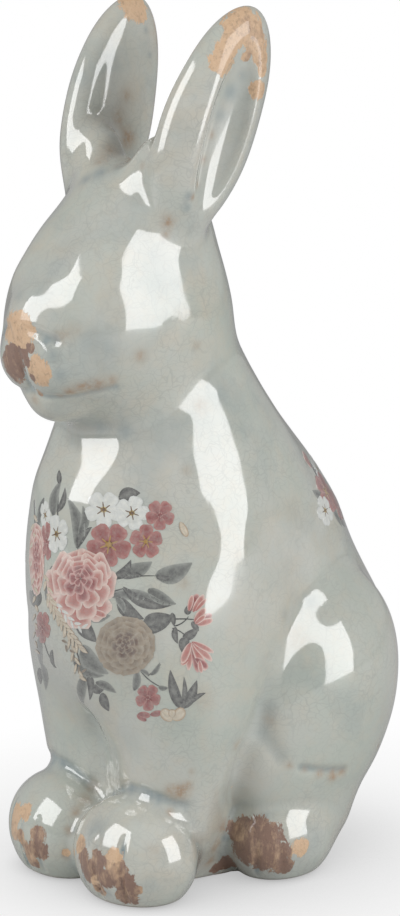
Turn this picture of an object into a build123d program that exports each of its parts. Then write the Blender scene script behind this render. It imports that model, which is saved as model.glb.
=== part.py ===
from build123d import *
import math
import os

import numpy as np

# A seated rabbit in glazed slip-cast stoneware. It stands on z = 0 and looks along -Y, with its left
# side at +X. Lengths are millimetres. Names that end in share or shares are parts of a named length.

# Overall sizes
TRUNK_WIDTH = 105.0
TRUNK_DEPTH = 144.0
TRUNK_HEIGHT = 205.0
HEAD_WIDTH = 62.0
HEAD_DEPTH = 84.0
HEAD_HEIGHT = 86.0
HEAD_UP = 205.0
HEAD_FORWARD = 39.0
EAR_LENGTH = 88.0
EAR_WIDTH = 37.6
EAR_THICKNESS = 20.6
EAR_ROOT_UP = 217.0
EAR_ROOT_FORWARD = 34.0
EAR_SPREAD = 41.4
EAR_LEAN_BACK = 16.0
EAR_LEAN_OUT = 6.0
EAR_BOW = 5.3

# The hollow of the casting. The head's own hollow has this much clay before, behind, above and
# below it, and half as much at its sides
WALL = 5.0
BASE_THICKNESS = 5.0
VENT_DIAMETER = 12.0
VENT_BACK = 12.0
HEAD_CLAY = 15.0
HEAD_HOLLOW_TILT = 40.0

# Forefeet, hind feet and tail
PAW_WIDTH = 46.0
PAW_LENGTH = 37.4
PAW_HEIGHT = 41.0
PAW_SPREAD = 39.0
PAW_FORWARD = 46.3
PAW_UP = 14.6
PAW_TURN = 10.0
HIND_WIDTH = 36.8
HIND_LENGTH = 45.0
HIND_HEIGHT = 38.4
HIND_SPREAD = 60.2
HIND_BACK = 9.4
HIND_UP = 14.3
HIND_TURN = 18.0
TAIL_WIDTH = 29.0
TAIL_LENGTH = 28.0
TAIL_HEIGHT = 30.0
TAIL_BACK = 67.0
TAIL_UP = 40.0

# Grooves between the toes
TOE_GROOVE_WIDTH = 2.6
TOE_GROOVE_DEPTH = 1.8
TOE_GROOVE_HEIGHT = 27.0
TOE_SPACING = 12.5
TOE_FAN = 14.0

# How far neighbouring forms melt into each other
SOFT_BLEND = 17.0
FULL_BLEND = 12.0
LIMB_BLEND = 5.0
FACE_BLEND = 8.0

# Extra length that a cutting solid runs past what it cuts
OVERRUN = 2.0

# Forms of the trunk: place of the middle, then half sizes, in shares of width, depth and height
BARREL_SHARES = ((0, 0.052, 0.467), (0.407, 0.348, 0.289))
RUMP_SHARES = ((0, 0.222, 0.309), (0.416, 0.306, 0.245))
CHEST_SHARES = ((0, -0.167, 0.548), (0.372, 0.308, 0.318))
BELLY_SHARES = ((0, -0.035, 0.110), (0.260, 0.224, 0.223))
HAUNCH_SHARES = ((0.304, 0.146, 0.294), (0.196, 0.249, 0.231))
HEEL_SHARES = ((0.257, 0.141, 0.127), (0.163, 0.158, 0.121))
HAUNCH_TILT = -20.0

# Tapering limbs of the trunk: lower end, upper end, then the radii there in shares of the width
NECK_SHARES = ((0, -0.057, 0.673), (0, -0.218, 1.017), (0.355, 0.218))
FILL_SHARES = ((0, -0.144, 0.063), (0, -0.141, 0.411), (0.157, 0.180))
FORELEG_SHARES = ((0.184, -0.230, 0.078), (0.246, -0.172, 0.438), (0.120, 0.265))

# Forms of the head, about its middle, in shares of its width, depth and height
SKULL_SHARES = ((0, 0.134, -0.066), (0, -0.214, -0.178), (0.479, 0.344))
CROWN_SHARES = ((0, 0.111, 0.160), (0.388, 0.331, 0.344))
CHEEK_SHARES = ((0.191, -0.057, -0.124), (0.291, 0.332, 0.371))
CHEEK_TILT = 25.0
NOSE_SHARES = ((0, -0.358, -0.076), (0.171, 0.126, 0.137))
PUFF_SHARES = ((0.130, -0.323, -0.233), (0.169, 0.141, 0.129))
CHIN_SHARES = ((0, -0.244, -0.376), (0.203, 0.160, 0.118))
# Middle of the head's hollow, back and up from the head's own middle
HEAD_HOLLOW_SHARES = (0.08, -0.04)
# Ridge that runs from the front of the ear down to the brow
RIDGE_SHARES = ((0.237, 0.082, 0.535), (0.154, -0.113, 0.151), (0.111, 0.201))

# Ear: where its widest section lies and how far it tapers into the head, in shares of its length
EAR_WIDEST_SHARE = 0.506
EAR_TAPER_SHARE = 0.417
# Stretch of the ear's length over which its bow goes on growing
EAR_BOW_SHARES = (-0.5, 1.1)
# Dished inner face: middle, then half sizes, in shares of the ear's thickness, width and length
DISH_SHARES = ((0.56, 0.08, 0.54), (0.41, 0.25, 0.40))

# Sections of the lofts and points on each outline
TRUNK_SECTIONS = 11
TRUNK_POINTS = 32
HOLLOW_SECTIONS = 7
HOLLOW_POINTS = 16
HEAD_SECTIONS = 5
HEAD_POINTS = 24
EAR_SECTIONS = 5
EAR_POINTS = 16

# Axis of the trunk's sections: how far back it starts, and how far it has leant forward at the top
AXIS_BACK_SHARE = 0.03
AXIS_LEAN_SHARE = 0.23
# Axis of the head's sections: back and up from the head's middle, and its dip towards the nose
HEAD_AXIS_SHARES = (0.0, -0.05)
NOSE_DIP = 16.0
# How far the last point of the muzzle's loft stays behind the tip of the nose, for a blunt end
NOSE_FLAT = 1.5
# Where the ear's lowest section lies, in shares of its length
EAR_FOOT_SHARE = 0.14

# Softness of a limb's ends, steps of the search for an outline, and its halvings after that
LIMB_SOFT_SHARE = 0.02
SEARCH_STEP_COUNT = 60
AXIS_STEP_COUNT = 240
HALVING_COUNT = 24
# Least slope, against a division by zero at the very middle of a form
LEAST_SLOPE_SHARE = 1e-9

X_WAY = np.array([1.0, 0, 0])
Y_WAY = np.array([0, 1.0, 0])
Z_WAY = np.array([0, 0, 1.0])
MIRROR = np.array([-1, 1, 1])


def turn_x(degrees):
    c, s = math.cos(math.radians(degrees)), math.sin(math.radians(degrees))
    return np.array([[1, 0, 0], [0, c, -s], [0, s, c]])


def turn_y(degrees):
    c, s = math.cos(math.radians(degrees)), math.sin(math.radians(degrees))
    return np.array([[c, 0, s], [0, 1, 0], [-s, 0, c]])


TRUNK_SIZE = np.array([TRUNK_WIDTH, TRUNK_DEPTH, TRUNK_HEIGHT])
HEAD_SIZE = np.array([HEAD_WIDTH, HEAD_DEPTH, HEAD_HEIGHT])
HEAD_MIDDLE = np.array([0, -HEAD_FORWARD, HEAD_UP])
EAR_TURN = turn_x(-EAR_LEAN_BACK) @ turn_y(EAR_LEAN_OUT)
EAR_ROOT = np.array([EAR_SPREAD / 2, -EAR_ROOT_FORWARD, EAR_ROOT_UP])
EAR_SIZE = np.array([EAR_THICKNESS, EAR_WIDTH, EAR_LENGTH])


def swell(points, middle, half, turn=None):
    """Signed distance, close to the surface, to an ellipsoid."""
    offset = points - middle
    if turn is not None:
        offset = offset @ turn
    near = np.sqrt(((offset / half) ** 2).sum(-1))
    slope = np.sqrt(((offset / half**2) ** 2).sum(-1)) + LEAST_SLOPE_SHARE / half[0]
    return near * (near - 1) / slope


def limb(points, low, high, radii):
    """Signed distance to a tapering limb with softly rounded ends."""
    run = high - low
    along = (points - low) @ run / (run @ run)
    start, end = (np.sqrt((along - place) ** 2 + LIMB_SOFT_SHARE) for place in (0, 1))
    along = (start - end + 1) / 2
    gap = np.linalg.norm(points - low - along[..., None] * run, axis=-1)
    return gap - (radii[0] + (radii[1] - radii[0]) * along)


def melt(first, second, reach):
    """Union of two forms whose meeting line is filled over the given reach."""
    mix = np.clip(0.5 + (second - first) / (2 * reach), 0, 1)
    return second + (first - second) * mix - reach * mix * (1 - mix)


def both_sides(points):
    return points, points * MIRROR


def trunk_field(points):
    def form(shares, where, turn=None):
        return swell(where, np.array(shares[0]) * TRUNK_SIZE, np.array(shares[1]) * TRUNK_SIZE, turn)

    def taper(shares, where):
        low, high = (np.array(end) * TRUNK_SIZE for end in shares[:2])
        return limb(where, low, high, np.array(shares[2]) * TRUNK_WIDTH)

    field = form(BARREL_SHARES, points)
    field = melt(field, form(RUMP_SHARES, points), FULL_BLEND)
    field = melt(field, form(CHEST_SHARES, points), SOFT_BLEND)
    field = melt(field, taper(NECK_SHARES, points), SOFT_BLEND)
    field = melt(field, form(BELLY_SHARES, points), FULL_BLEND)
    field = melt(field, taper(FILL_SHARES, points), FULL_BLEND)
    for side in both_sides(points):
        field = melt(field, taper(FORELEG_SHARES, side), SOFT_BLEND)
        field = melt(field, form(HEEL_SHARES, side), LIMB_BLEND)
        field = melt(field, form(HAUNCH_SHARES, side, turn_x(HAUNCH_TILT)), LIMB_BLEND)
    return field


def head_field(points):
    def form(shares, where, turn=None):
        middle = HEAD_MIDDLE + np.array(shares[0]) * HEAD_SIZE
        return swell(where, middle, np.array(shares[1]) * HEAD_SIZE, turn)

    low, high, radii = SKULL_SHARES
    low, high = (HEAD_MIDDLE + np.array(end) * HEAD_SIZE for end in (low, high))
    field = limb(points, low, high, np.array(radii) * HEAD_WIDTH)
    field = melt(field, form(CROWN_SHARES, points), FACE_BLEND)
    for side in both_sides(points):
        field = melt(field, form(CHEEK_SHARES, side, turn_x(CHEEK_TILT)), FACE_BLEND)
    field = melt(field, form(NOSE_SHARES, points), FACE_BLEND)
    for side in both_sides(points):
        field = melt(field, form(PUFF_SHARES, side), LIMB_BLEND)
    return melt(field, form(CHIN_SHARES, points), LIMB_BLEND)


def ear_field(points):
    """Ear in its own axes: x out of the dished face, y across its width, z along it from the root."""
    widest = EAR_WIDEST_SHARE * EAR_LENGTH
    along = np.clip(points[..., 2] / EAR_LENGTH, *EAR_BOW_SHARES)
    bowed = points - np.stack([0 * along, EAR_BOW * along**2, widest + 0 * along], -1)
    reach = np.where(bowed[..., 2] > 0, EAR_LENGTH - widest, EAR_TAPER_SHARE * EAR_LENGTH)
    half = np.stack([EAR_THICKNESS / 2 + 0 * reach, EAR_WIDTH / 2 + 0 * reach, reach], -1)
    near = np.sqrt(((bowed / half) ** 2).sum(-1))
    slope = np.sqrt(((bowed / half**2) ** 2).sum(-1)) + LEAST_SLOPE_SHARE / EAR_LENGTH
    return near * (near - 1) / slope


def ridge_field(points):
    low, high, radii = RIDGE_SHARES
    low, high = (HEAD_MIDDLE + np.array(end) * HEAD_SIZE for end in (low, high))
    return limb(points, low, high, np.array(radii) * HEAD_WIDTH)


def flared_ear_field(points):
    """Left ear in its own axes, melted into the ridge below it."""
    return melt(ear_field(points), ridge_field(points @ EAR_TURN.T + EAR_ROOT), FACE_BLEND)


def outline(field, middle, across, up, count, reach, inset):
    """Closed smooth outline of a form, inset by a wall, in the plane through its middle."""
    turns = np.arange(count) * 2 * math.pi / count
    rays = np.outer(np.cos(turns), across) + np.outer(np.sin(turns), up)
    steps = np.linspace(reach, 0, SEARCH_STEP_COUNT)
    inside = field(middle + steps[:, None, None] * rays) < -inset
    first = np.maximum(inside.argmax(axis=0), 1)
    near, far = steps[first], steps[first - 1]
    for _ in range(HALVING_COUNT):
        half = (near + far) / 2
        held = field(middle + half[:, None] * rays) < -inset
        near, far = np.where(held, half, near), np.where(held, far, half)
    places = middle + near[:, None] * rays
    even = [step / count for step in range(count + 1)]
    return Wire([Edge.make_spline([Vector(*place) for place in places], periodic=True, parameters=even)])


def levels(bottom, top, count):
    return [bottom + (top - bottom) * step / (count - 1) for step in range(count)]


def trunk_loft(bottom, top, sections, points, inset):
    """Level outlines about an axis that leans forward with the neck, joined by a smooth loft."""
    rings = []
    for level in levels(bottom, top, sections):
        back_share = AXIS_BACK_SHARE - AXIS_LEAN_SHARE * (level / TRUNK_HEIGHT) ** 2
        middle = np.array([0, back_share * TRUNK_DEPTH, level])
        rings.append(outline(trunk_field, middle, X_WAY, Y_WAY, points, TRUNK_DEPTH, inset))
    return Solid.make_loft(rings)


def head_loft(sections, points, inset):
    """Outlines square to a line from the nape to the nose, closed by a point at each end."""
    nose_way = np.array([0, -math.cos(math.radians(NOSE_DIP)), -math.sin(math.radians(NOSE_DIP))])
    up_way = np.cross(X_WAY, nose_way)
    start = HEAD_MIDDLE + np.array([0, HEAD_AXIS_SHARES[0], HEAD_AXIS_SHARES[1]]) * HEAD_SIZE
    runs = np.linspace(0, HEAD_DEPTH, AXIS_STEP_COUNT)
    front = runs[(head_field(start + runs[:, None] * nose_way) < -inset).nonzero()[0][-1]]
    back = runs[(head_field(start - runs[:, None] * nose_way) < -inset).nonzero()[0][-1]]
    rings = []
    for step in range(1, sections + 1):
        swing = math.pi * step / (sections + 1)
        place = start + nose_way * ((front - back) / 2 - (front + back) / 2 * math.cos(swing))
        rings.append(outline(head_field, place, X_WAY, up_way, points, HEAD_DEPTH, inset))
    nape = Vertex(*(start - back * nose_way))
    nose = Vertex(*(start + (front - NOSE_FLAT) * nose_way))
    return Solid.make_loft([nape, *rings, nose])


def ear_solid():
    """Left ear in its own axes: outlines from its root to the tip, with the dished face cut in."""
    bottom = EAR_FOOT_SHARE * EAR_LENGTH
    rings = []
    for step in range(EAR_SECTIONS):
        swing = math.pi / 2 * step / EAR_SECTIONS
        along = bottom + (EAR_LENGTH - bottom) * math.sin(swing)
        place = np.array([0, EAR_BOW * (along / EAR_LENGTH) ** 2, along])
        rings.append(outline(flared_ear_field, place, X_WAY, Y_WAY, EAR_POINTS, EAR_LENGTH, 0))
    blank = Solid.make_loft([*rings, Vertex(0, EAR_BOW, EAR_LENGTH)])
    middle, size = (np.array(share) * EAR_SIZE for share in DISH_SHARES)
    return blank - Pos(*middle) * ellipsoid(*(2 * size))


def ellipsoid(width, length, height):
    return scale(Sphere(1), by=(width / 2, length / 2, height / 2))


def toe_grooves(front, up, count):
    """Thin upright grooves that fan out over the front of a foot whose middle is the origin."""
    grooves = []
    for step in range(count):
        place = step - (count - 1) / 2
        blade = ellipsoid(TOE_GROOVE_WIDTH, 4 * TOE_GROOVE_DEPTH, TOE_GROOVE_HEIGHT)
        reach = math.sqrt(1 - (place * TOE_SPACING / front[0]) ** 2) * front[1]
        grooves.append(Pos(place * TOE_SPACING, -reach, up) * Rot(0, place * TOE_FAN, 0) * blade)
    return grooves


def paw_solid():
    """Left forepaw: a full round paw, flat where it stands and where it meets its neighbour."""
    paw = ellipsoid(PAW_WIDTH, PAW_LENGTH, PAW_HEIGHT)
    for groove in toe_grooves((PAW_WIDTH / 2, PAW_LENGTH / 2), -PAW_UP / 4, 2):
        paw = paw - groove
    room = Pos(PAW_WIDTH, -PAW_FORWARD, PAW_HEIGHT) * Box(2 * PAW_WIDTH, 2 * PAW_LENGTH, 2 * PAW_HEIGHT)
    return Pos(PAW_SPREAD / 2, -PAW_FORWARD, PAW_UP) * Rot(0, 0, PAW_TURN) * paw & room


def hind_foot_solid():
    """Left hind foot: the round front of the foot that shows below the haunch."""
    foot = ellipsoid(HIND_WIDTH, HIND_LENGTH, HIND_HEIGHT)
    for groove in toe_grooves((HIND_WIDTH / 2, HIND_LENGTH / 2), -HIND_UP / 4, 2):
        foot = foot - groove
    room = Pos(HIND_SPREAD / 2, HIND_BACK, HIND_HEIGHT)
    room *= Box(2 * HIND_WIDTH, 2 * HIND_LENGTH, 2 * HIND_HEIGHT)
    return Pos(HIND_SPREAD / 2, HIND_BACK, HIND_UP) * Rot(0, 0, HIND_TURN) * foot & room


def slab(height, depth):
    """A plate as broad as the figurine, for cutting level slices."""
    return Pos(0, 0, height + depth / 2) * Box(2 * TRUNK_WIDTH, 2 * TRUNK_DEPTH, depth)


def head_hollow():
    """Sealed egg-shaped hollow that follows the head from the nape to behind the nose."""
    middle = HEAD_MIDDLE + np.array([0, *HEAD_HOLLOW_SHARES]) * HEAD_SIZE
    egg = ellipsoid(HEAD_WIDTH - HEAD_CLAY, HEAD_DEPTH - 2 * HEAD_CLAY, HEAD_HEIGHT - 2 * HEAD_CLAY)
    return Pos(*middle) * Rot(-HEAD_HOLLOW_TILT, 0, 0) * egg


def main():
    trunk = trunk_loft(0, TRUNK_HEIGHT, TRUNK_SECTIONS, TRUNK_POINTS, 0)
    head = head_loft(HEAD_SECTIONS, HEAD_POINTS, 0)
    hollow = trunk_loft(BASE_THICKNESS, TRUNK_HEIGHT - WALL, HOLLOW_SECTIONS, HOLLOW_POINTS, WALL)
    base_slice = slab(0, BASE_THICKNESS)
    vent = Pos(0, VENT_BACK, BASE_THICKNESS / 2) * Cylinder(VENT_DIAMETER / 2, BASE_THICKNESS + 2 * OVERRUN)
    tail = Pos(0, TAIL_BACK, TAIL_UP) * ellipsoid(TAIL_WIDTH, TAIL_LENGTH, TAIL_HEIGHT)
    pieces = {
        "base_slab": (trunk & base_slice) - vent,
        "torso_shell": trunk - base_slice - head - hollow,
        "head_shell": head - head_hollow(),
        "tail": tail - trunk,
    }
    ear = Pos(*EAR_ROOT) * Rot(-EAR_LEAN_BACK, 0, 0) * Rot(0, EAR_LEAN_OUT, 0) * ear_solid()
    sides = {"left": (ear, paw_solid(), hind_foot_solid())}
    sides["right"] = [mirror(blank, about=Plane.YZ) for blank in sides["left"]]
    for side, (ear, paw, foot) in sides.items():
        pieces["ear_" + side] = ear - head - trunk
        pieces["forepaw_" + side] = paw - trunk
        pieces["hind_foot_" + side] = foot - trunk - paw

    # The origin is under the middle of the whole figurine's bounding box
    boxes = [piece.bounding_box() for piece in pieces.values()]
    low = np.min([tuple(box.min) for box in boxes], axis=0)
    high = np.max([tuple(box.max) for box in boxes], axis=0)
    middle = (low + high) / 2
    centring = Location((-middle[0], -middle[1], -low[2]))
    print("moved by", tuple(centring.position), "to stand centred, overall size", high - low)
    os.makedirs("parts", exist_ok=True)
    for name, piece in pieces.items():
        export_step(piece.moved(centring), "parts/" + name + ".step")


main()
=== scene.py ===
import math

import bmesh
import bpy
import numpy as np
from mathutils import Matrix, Vector


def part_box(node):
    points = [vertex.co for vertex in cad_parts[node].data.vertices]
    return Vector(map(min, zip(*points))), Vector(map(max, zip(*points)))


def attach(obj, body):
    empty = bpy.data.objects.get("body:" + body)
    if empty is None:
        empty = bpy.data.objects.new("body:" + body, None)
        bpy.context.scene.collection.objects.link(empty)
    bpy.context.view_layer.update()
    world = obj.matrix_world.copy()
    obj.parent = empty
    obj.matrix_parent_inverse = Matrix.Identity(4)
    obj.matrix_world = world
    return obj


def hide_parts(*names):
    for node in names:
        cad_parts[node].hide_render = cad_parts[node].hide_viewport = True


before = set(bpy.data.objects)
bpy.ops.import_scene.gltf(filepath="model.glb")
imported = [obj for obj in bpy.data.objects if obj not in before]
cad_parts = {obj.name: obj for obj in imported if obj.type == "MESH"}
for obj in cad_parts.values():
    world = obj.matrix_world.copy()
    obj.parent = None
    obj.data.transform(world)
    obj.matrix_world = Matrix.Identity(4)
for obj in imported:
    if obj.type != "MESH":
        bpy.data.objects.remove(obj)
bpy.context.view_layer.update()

# Seated rabbit in crackled, glazed stoneware. The forms below are in millimetres, like the solids
# that they dress, and MM turns them into metres when a mesh is made. The rabbit looks along -Y.
MM = 0.001

# Overall sizes of the trunk, head and ears
TRUNK_SIZE = np.array([105.0, 144.0, 205.0])
HEAD_SIZE = np.array([62.0, 84.0, 86.0])
HEAD_MIDDLE = np.array([0, -39.0, 205.0])
EAR_SIZE = np.array([20.6, 37.6, 88.0])
EAR_ROOT = np.array([20.7, -34.0, 217.0])
EAR_LEAN_BACK = 16.0
EAR_LEAN_OUT = 6.0
EAR_BOW = 5.3
BASE_THICKNESS = 5.0

# Feet and tail: middle, half sizes and turn about the vertical
FOREPAW = (np.array([19.5, -46.3, 14.6]), np.array([23.0, 18.7, 20.5]), 10.0)
HIND_FOOT = (np.array([30.1, 9.4, 14.3]), np.array([18.4, 22.5, 19.2]), 18.0)
TAIL = (np.array([0, 67.0, 40.0]), np.array([14.5, 14.0, 15.0]), 0.0)

# How far neighbouring forms melt into each other
SOFT_BLEND = 17.0
FULL_BLEND = 12.0
LIMB_BLEND = 5.0
FACE_BLEND = 8.0
NECK_BLEND = 9.0
FOOT_BLEND = 4.0
EAR_BLEND = 7.0
DISH_BLEND = 2.5
EDGE_BLEND = 2.0

# Forms of the trunk: middle, then half sizes, in shares of its width, depth and height
BARREL_SHARES = ((0, 0.052, 0.467), (0.407, 0.348, 0.289))
RUMP_SHARES = ((0, 0.222, 0.309), (0.416, 0.306, 0.245))
CHEST_SHARES = ((0, -0.167, 0.548), (0.372, 0.308, 0.318))
BELLY_SHARES = ((0, -0.035, 0.110), (0.260, 0.224, 0.223))
HAUNCH_SHARES = ((0.304, 0.146, 0.294), (0.196, 0.249, 0.231))
HEEL_SHARES = ((0.257, 0.141, 0.127), (0.163, 0.158, 0.121))
HAUNCH_TILT = -20.0

# Tapering limbs of the trunk: lower end, upper end, then the radii there in shares of the width
NECK_SHARES = ((0, -0.057, 0.673), (0, -0.218, 1.017), (0.355, 0.218))
FILL_SHARES = ((0, -0.144, 0.063), (0, -0.141, 0.411), (0.157, 0.180))
FORELEG_SHARES = ((0.184, -0.230, 0.078), (0.246, -0.172, 0.438), (0.120, 0.265))

# Forms of the head, about its middle, in shares of its width, depth and height
SKULL_SHARES = ((0, 0.134, -0.066), (0, -0.214, -0.178), (0.479, 0.344))
CROWN_SHARES = ((0, 0.111, 0.160), (0.388, 0.331, 0.344))
CHEEK_SHARES = ((0.191, -0.057, -0.124), (0.291, 0.332, 0.371))
CHEEK_TILT = 25.0
NOSE_SHARES = ((0, -0.358, -0.076), (0.171, 0.126, 0.137))
PUFF_SHARES = ((0.130, -0.323, -0.233), (0.169, 0.141, 0.129))
CHIN_SHARES = ((0, -0.244, -0.376), (0.203, 0.160, 0.118))
RIDGE_SHARES = ((0.237, 0.082, 0.535), (0.154, -0.113, 0.151), (0.111, 0.201))

# Ear: its widest place and its taper into the head, and the dished inner face, in shares of its size
EAR_WIDEST_SHARE = 0.506
EAR_TAPER_SHARE = 0.417
EAR_BOW_SHARES = (-0.5, 1.1)
DISH_SHARES = ((0.56, 0.08, 0.54), (0.41, 0.25, 0.40))

# Bridge of the nose, filled by the glaze: middle, half sizes and slope
BROW = (np.array([0, -55.0, 217.6]), np.array([18.0, 26.0, 9.0]))
BROW_SLOPE = 47.0
BROW_BLEND = 5.0
# Flattened inner face of an ear: its way out in the ear's own axes, how far out it lies, and its blend
EAR_FACE = np.array([-math.cos(math.radians(8)), math.sin(math.radians(8)), 0])
EAR_FACE_REACH = 6.6
# Soft hollows and swellings of the hand-finished clay: place, reach and height, the same on both sides
PRESSES = (
    ((17, -46, 240), 9, -2.5), ((14, -52, 232), 7, -0.8), ((52, -26, 90), 20, -7.0),
    ((36, -50, 96), 14, -1.5), ((42, -22, 126), 14, 2.2), ((46, 10, 104), 11, -2.0),
    ((44, 34, 106), 12, -2.5), ((54, 22, 74), 20, 3.5), ((8, -58, 158), 9, -1.6),
    ((14, -62, 141), 10, 1.0), ((32, -50, 206), 13, 0.6),
)

LIMB_SOFT_SHARE = 0.02
TINY = 1e-9
MIRROR = np.array([-1, 1, 1])
TETRAHEDRON = np.array([[1, -1, -1], [-1, -1, 1], [-1, 1, -1], [1, 1, 1]])
# The solids were moved along Y to stand centred, by this much
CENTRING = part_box("tail")[1].y / MM - TAIL[0][1] - TAIL[1][1]

# Colours of the glaze, the clay under it and the stains, as linear light
PALE_GREEN = (0.500, 0.540, 0.480, 1)
PALE_GREY = (0.580, 0.590, 0.540, 1)
PALE_BEIGE = (0.60, 0.54, 0.43, 1)
THIN_BEIGE = (0.52, 0.45, 0.36, 1)
# Blue-grey of glaze pooled in hollows, also used as painted shade under the chin, above the mouth and in
# the haunch's front crease
POOL_AND_SHADE_BLUE = (0.235, 0.300, 0.320, 1)
TAN = (0.42, 0.30, 0.20, 1)
CRACK_GREY = (0.30, 0.31, 0.30, 1)
PEACH = (0.60, 0.36, 0.20, 1)
PEACH_LIGHT = (0.80, 0.58, 0.37, 1)
BROWN = (0.25, 0.14, 0.095, 1)
DARK_BROWN = (0.09, 0.05, 0.035, 1)
# Gloss, slow waves and cracks of the glaze, and the bare clay where it is chipped
GLAZE_IOR = 1.75
COAT_ROUGHNESS = 0.03
CLAY_ROUGHNESS = 0.45
WAVE_SCALE = 120.0
WAVE_HEIGHT = 0.35
CRACK_DEPTH = 0.06
BUMP_STRENGTH = 0.35
BUMP_DEPTH = 0.0006
CHIP_RAGGED = 2.4
# Heights between which the bare underside goes over into glaze, in metres
BARE_BELOW = (0.0003, 0.0011)

# Studio, in metres and in levels where 1 is white
FLOOR_REACH = 40.0
WORLD_LEVEL = 0.34
LAMP_DISTANCE = 1.5
LAMP_TARGET = 0.15
LAMP_LEVEL = 3.5
FLOOR_GREY = (0.6, 0.6, 0.6, 1)
# Grey of the painted shadow on the floor around the figurine
PAINTED_SHADOW_GREY = (0.45, 0.45, 0.45, 1)

# Meshing: edge of the first rough skin, of the fine skin, and steps of the projection onto the form
ROUGH_EDGE = 2.2
FINE_EDGE = 1.15
PROJECTIONS = (4, 2)
PROBE = 0.05
LONGEST_MOVE = 3.0
GROOVE_REACH = 3
# Search along a pixel's ray: steps, share of the distance that each one takes, their limits, and how far
# before the figurine it starts
MARCH_STEPS = 90
MARCH_SHARE = 0.8
MARCH_LIMITS = (-5, 8)
MARCH_START = 200.0
# Balls along a limb, steps and thickness of the ear, in the first rough body
LIMB_BALLS = 9
EAR_STEPS = np.linspace(0.03, 0.93, 24)
EAR_BALL = 6.0
# Rounds that smooth the pieces' borders, and a face's own weight there
LABEL_ROUNDS = 3
OWN_VOTE = 1.5
# Longest slide of a corner onto a seam, and how far inside a seam its closing fan comes to a point
SNAP_REACH = 1.0
SNAP_ROUNDS = 3
LEAST_SLOPE = 0.15
CAP_DEPTH = 2.0
FINE_PIECES = ("head_shell", "ear_left", "ear_right", "forepaw_left", "forepaw_right",
               "hind_foot_left", "hind_foot_right")


def turned(axis, degrees):
    """Rotation about one of the axes."""
    one, other = {"X": (1, 2), "Y": (2, 0), "Z": (0, 1)}[axis]
    turn = np.eye(3)
    turn[one, one] = turn[other, other] = math.cos(math.radians(degrees))
    turn[other, one] = math.sin(math.radians(degrees))
    turn[one, other] = -turn[other, one]
    return turn


EAR_TURN = turned("X", -EAR_LEAN_BACK) @ turned("Y", EAR_LEAN_OUT)


def swell(points, middle, half, turn=None):
    """Signed distance, close to the surface, to an ellipsoid."""
    offset = points - middle
    if turn is not None:
        offset = offset @ turn
    near = np.sqrt(((offset / half) ** 2).sum(-1))
    slope = np.sqrt(((offset / half**2) ** 2).sum(-1)) + TINY
    return near * (near - 1) / slope


def limb(points, low, high, radii):
    """Signed distance to a tapering limb with softly rounded ends."""
    run = high - low
    along = (points - low) @ run / (run @ run)
    start, end = (np.sqrt((along - place) ** 2 + LIMB_SOFT_SHARE) for place in (0, 1))
    along = (start - end + 1) / 2
    gap = np.linalg.norm(points - low - along[..., None] * run, axis=-1)
    return gap - (radii[0] + (radii[1] - radii[0]) * along)


def melt(first, second, reach):
    """Union of two forms whose meeting line is filled over the given reach."""
    mix = np.clip(0.5 + (second - first) / (2 * reach), 0, 1)
    return second + (first - second) * mix - reach * mix * (1 - mix)


def carve(form, cut, reach):
    """A form less a cut, with the edge between them rounded."""
    return -melt(-form, cut, reach)


def trunk_form(points, sides):
    def form(shares, where, turn=None):
        return swell(where, np.array(shares[0]) * TRUNK_SIZE, np.array(shares[1]) * TRUNK_SIZE, turn)

    def taper(shares, where):
        low, high = (np.array(end) * TRUNK_SIZE for end in shares[:2])
        return limb(where, low, high, np.array(shares[2]) * TRUNK_SIZE[0])

    field = form(BARREL_SHARES, points)
    field = melt(field, form(RUMP_SHARES, points), FULL_BLEND)
    field = melt(field, form(CHEST_SHARES, points), SOFT_BLEND)
    field = melt(field, taper(NECK_SHARES, points), SOFT_BLEND)
    field = melt(field, form(BELLY_SHARES, points), FULL_BLEND)
    field = melt(field, taper(FILL_SHARES, points), FULL_BLEND)
    for side in sides:
        field = melt(field, taper(FORELEG_SHARES, side), SOFT_BLEND)
        field = melt(field, form(HEEL_SHARES, side), LIMB_BLEND)
        field = melt(field, form(HAUNCH_SHARES, side, turned("X", HAUNCH_TILT)), LIMB_BLEND)
    return field


def head_form(points, sides):
    def form(shares, where, turn=None):
        middle = HEAD_MIDDLE + np.array(shares[0]) * HEAD_SIZE
        return swell(where, middle, np.array(shares[1]) * HEAD_SIZE, turn)

    low, high = (HEAD_MIDDLE + np.array(end) * HEAD_SIZE for end in SKULL_SHARES[:2])
    field = limb(points, low, high, np.array(SKULL_SHARES[2]) * HEAD_SIZE[0])
    field = melt(field, form(CROWN_SHARES, points), FACE_BLEND)
    for side in sides:
        field = melt(field, form(CHEEK_SHARES, side, turned("X", CHEEK_TILT)), FACE_BLEND)
    field = melt(field, form(NOSE_SHARES, points), FACE_BLEND)
    field = melt(field, swell(points, BROW[0], BROW[1], turned("X", BROW_SLOPE)), BROW_BLEND)
    for side in sides:
        field = melt(field, form(PUFF_SHARES, side), LIMB_BLEND)
    return melt(field, form(CHIN_SHARES, points), LIMB_BLEND)


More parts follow.
